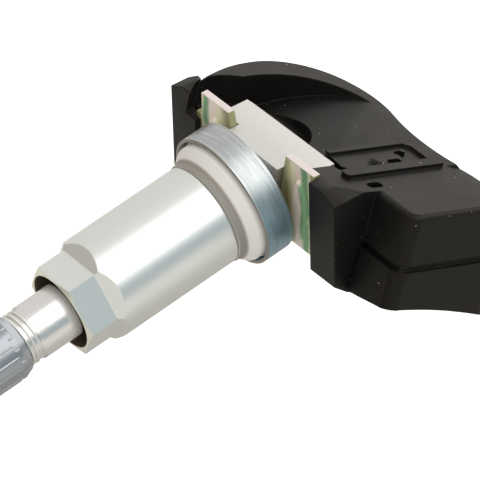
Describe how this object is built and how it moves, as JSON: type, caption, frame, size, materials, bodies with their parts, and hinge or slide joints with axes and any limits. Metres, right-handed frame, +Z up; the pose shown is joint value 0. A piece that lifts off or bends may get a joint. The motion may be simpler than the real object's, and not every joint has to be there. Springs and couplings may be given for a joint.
{
  "type": "tyre pressure sensor",
  "caption": "Clamp-in metal tyre valve with collar nut, sealing grommet and steel ring, clipped to a black moulded housing that measures tyre pressure.",
  "frame": {"origin": "on the valve axis at the steel ring's front rim, where the valve is clamped in the wheel rim", "axes": "+Y along the valve axis from the valve's tip to the housing, +X towards the box end of the housing, +Z up through the housing's top"},
  "size_m": [0.0456, 0.0796, 0.0329],
  "materials": {
    "cap_plastic": "moulded",
    "black_rubber": "moulded",
    "grey_rubber": "moulded",
    "stem_metal": "turned",
    "nut_metal": "satin anodised",
    "core_brass": "turned",
    "spring_steel": "drawn",
    "ring_steel": "zinc plated, turned",
    "clip_steel": "yellow passivated",
    "housing_plastic": "moulded, fine texture",
    "board_laminate": "solder mask",
    "cell_steel": "satin",
    "chip_plastic": "moulded",
    "crystal_can": "plated",
    "coil_ferrite": "sintered"
  },
  "bodies": {
    "sensor": {"valve_stem": "stem_metal", "core_body": "core_brass", "core_seal": "black_rubber", "core_spring": "spring_steel", "grommet": "grey_rubber", "seat_ring": "ring_steel", "retaining_clip": "clip_steel", "upper_housing": "housing_plastic", "lower_cover": "housing_plastic", "circuit_board": "board_laminate", "coin_cell": "cell_steel", "tab_negative": "spring_steel", "tab_positive": "spring_steel", "sensor_chip": "chip_plastic", "crystal": "crystal_can", "antenna_coil": "coil_ferrite", "port_seal": "black_rubber"},
    "cap_slider": {"cap_seal": "black_rubber"},
    "cap": {"valve_cap": "cap_plastic"},
    "nut_slider": {"nut_washer": "spring_steel"},
    "nut": {"collar_nut": "nut_metal"},
    "pin": {"core_pin": "core_brass", "core_cup": "black_rubber"}
  },
  "joints": [
    {"name": "cap_travel", "type": "slide", "parent": "sensor", "child": "cap_slider", "axis": [0, -1, 0], "range_m": [0, 0.00953]},
    {"name": "cap_turn", "type": "hinge", "parent": "cap_slider", "child": "cap", "pos_m": [0, -0.042, 0], "axis": [0, -1, 0], "range_deg": [0, 4320]},
    {"name": "nut_travel", "type": "slide", "parent": "sensor", "child": "nut_slider", "axis": [0, -1, 0], "range_m": [0, 0.012]},
    {"name": "nut_turn", "type": "hinge", "parent": "nut_slider", "child": "nut", "pos_m": [0, -0.015, 0], "axis": [0, -1, 0], "range_deg": [0, 4320]},
    {"name": "pin_press", "type": "slide", "parent": "sensor", "child": "pin", "axis": [0, 1, 0], "range_m": [0, 0.0012], "stiffness_N_per_m": 600, "springref_m": -0.002, "deforming": ["core_spring"]}
  ],
  "couplings": [
    {"joint": "cap_turn", "follows": "cap_travel", "rad_per_m": 7913.3},
    {"joint": "nut_turn", "follows": "nut_travel", "rad_per_m": 6283.2}
  ]
}
